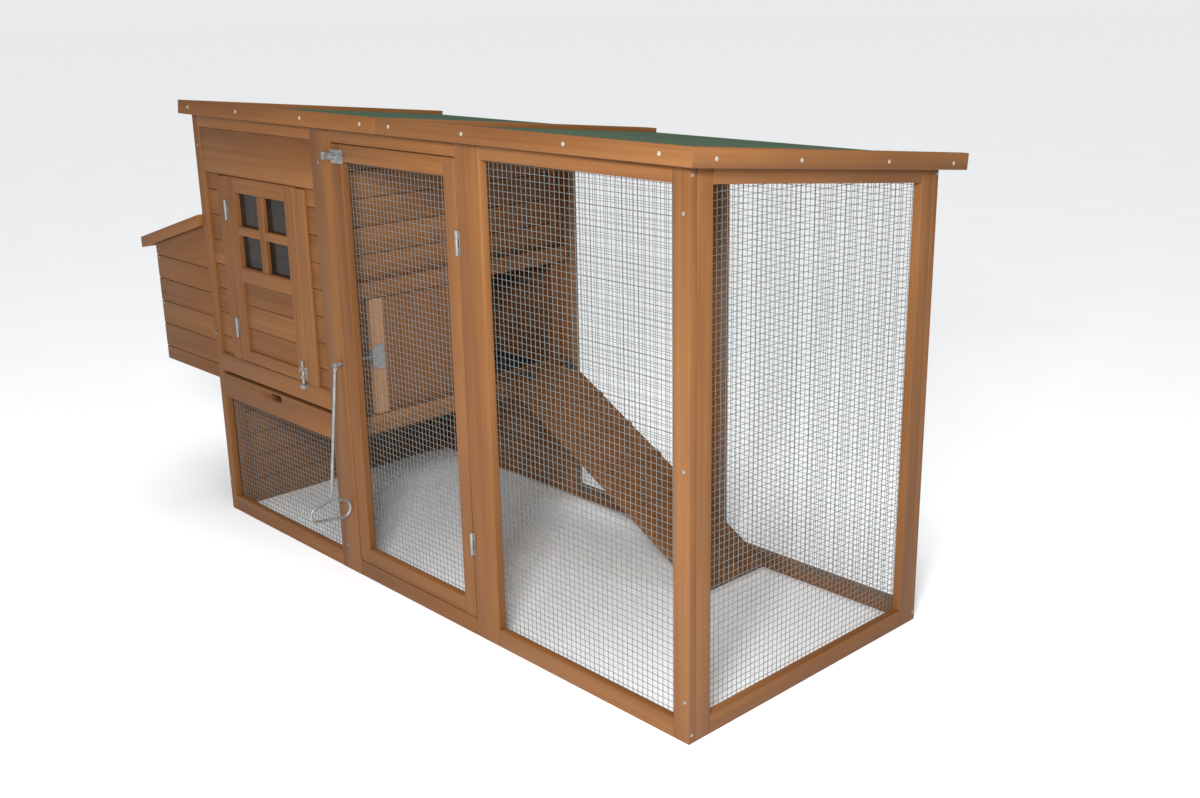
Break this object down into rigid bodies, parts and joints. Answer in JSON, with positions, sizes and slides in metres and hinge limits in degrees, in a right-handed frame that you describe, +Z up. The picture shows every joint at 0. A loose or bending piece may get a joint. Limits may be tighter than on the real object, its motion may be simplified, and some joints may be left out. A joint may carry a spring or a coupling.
{
  "type": "chicken coop",
  "caption": "Wooden chicken coop: raised hen house with side nest box and pull-out tray, joined to a wire mesh run under one sloping felt roof.",
  "frame": {"origin": "centre of the bounding box in plan, at the ground", "axes": "+X from the nest box towards the run's end, -Y the front with the doors, +Z up"},
  "size_m": [1.9878, 0.8588, 1.0416],
  "materials": {
    "stained_fir": "satin",
    "pale_fir": "matte",
    "mesh_wire": "satin",
    "zinc": "satin",
    "green_felt": "matte",
    "cream_cap": "matte",
    "tray_sheet": "satin",
    "clear_pane": "gloss",
    "black_steel": "satin"
  },
  "bodies": {
    "coop": {"back_posts": "stained_fir", "back_rails": "stained_fir", "back_slats": "stained_fir", "bolt_keepers": "zinc", "door_hinge_fixed_leaves": "zinc", "frame_screws": "zinc", "front_posts": "stained_fir", "front_rails": "stained_fir", "house_battens": "stained_fir", "house_bottom_rail": "stained_fir", "house_door_jambs": "stained_fir", "house_front_slats": "stained_fir", "house_lower_mesh": "mesh_wire", "house_post": "stained_fir", "left_end_slats": "stained_fir", "lid_hinge_fixed_leaves": "zinc", "nest_corner_battens": "stained_fir", "nest_divider": "stained_fir", "nest_end_slats": "stained_fir", "nest_floor": "stained_fir", "nest_side_slats": "stained_fir", "partition_slats": "stained_fir", "perch": "pale_fir", "pop_door_tracks": "stained_fir", "right_end_rails": "stained_fir", "right_end_stiles": "stained_fir", "roof_boards": "stained_fir", "roof_felt": "green_felt", "roof_screw_caps": "cream_cap", "roof_trim": "stained_fir", "run_back_mesh": "mesh_wire", "run_end_mesh": "mesh_wire", "run_front_mesh": "mesh_wire", "tray_runners": "stained_fir"},
    "house_door": {"house_door_frame": "stained_fir", "house_door_slats": "stained_fir", "window_bars": "stained_fir", "window_pane": "clear_pane", "house_door_hinge_leaves": "zinc", "house_bolt_base": "zinc"},
    "house_bolt": {"house_bolt": "zinc"},
    "run_door": {"run_door_frame": "stained_fir", "run_door_mesh": "mesh_wire", "run_door_hinge_leaves": "zinc", "run_bolt_base": "zinc"},
    "run_bolt": {"run_bolt": "zinc"},
    "nest_lid": {"nest_lid_board": "stained_fir", "nest_lid_felt": "green_felt", "nest_lid_trim": "stained_fir", "lid_hinge_moving_leaves": "zinc"},
    "tray": {"tray_pan": "tray_sheet", "tray_front": "stained_fir"},
    "pop_door": {"pop_door_panel": "stained_fir", "pop_door_batten": "pale_fir", "pop_door_link": "zinc"},
    "pull_handle": {"pull_handle": "zinc"},
    "ramp": {"ramp_board": "stained_fir", "ramp_cleats": "stained_fir", "ramp_hooks": "black_steel"}
  },
  "joints": [
    {"name": "house_door_hinge", "type": "hinge", "parent": "coop", "child": "house_door", "pos_m": [-0.5273, -0.3242, 0.65], "axis": [0, 0, -1], "range_deg": [0, 110]},
    {"name": "house_bolt_slide", "type": "slide", "parent": "house_door", "child": "house_bolt", "axis": [0, 0, -1], "range_m": [0, 0.011]},
    {"name": "run_door_hinge", "type": "hinge", "parent": "coop", "child": "run_door", "pos_m": [0.3709, -0.3242, 0.5], "axis": [0, 0, 1], "range_deg": [0, 110]},
    {"name": "run_bolt_slide", "type": "slide", "parent": "run_door", "child": "run_bolt", "axis": [-1, 0, 0], "range_m": [0, 0.011]},
    {"name": "nest_lid_hinge", "type": "hinge", "parent": "coop", "child": "nest_lid", "pos_m": [-0.6599, 0.0194, 0.772], "axis": [0, 1, 0], "range_deg": [0, 85]},
    {"name": "tray_slide", "type": "slide", "parent": "coop", "child": "tray", "axis": [0, -1, 0], "range_m": [0, 0.5]},
    {"name": "pop_door_slide", "type": "slide", "parent": "coop", "child": "pop_door", "axis": [0, 1, 0], "range_m": [0, 0.272]},
    {"name": "pull_handle_pivot", "type": "hinge", "parent": "coop", "child": "pull_handle", "pos_m": [-0.0759, -0.3356, 0.498], "axis": [-1, 0, 0], "range_deg": [0, 83]},
    {"name": "ramp_hook_pivot", "type": "hinge", "parent": "coop", "child": "ramp", "pos_m": [-0.0779, 0.2444, 0.363], "axis": [0, -1, 0], "range_deg": [0, 28]}
  ]
}
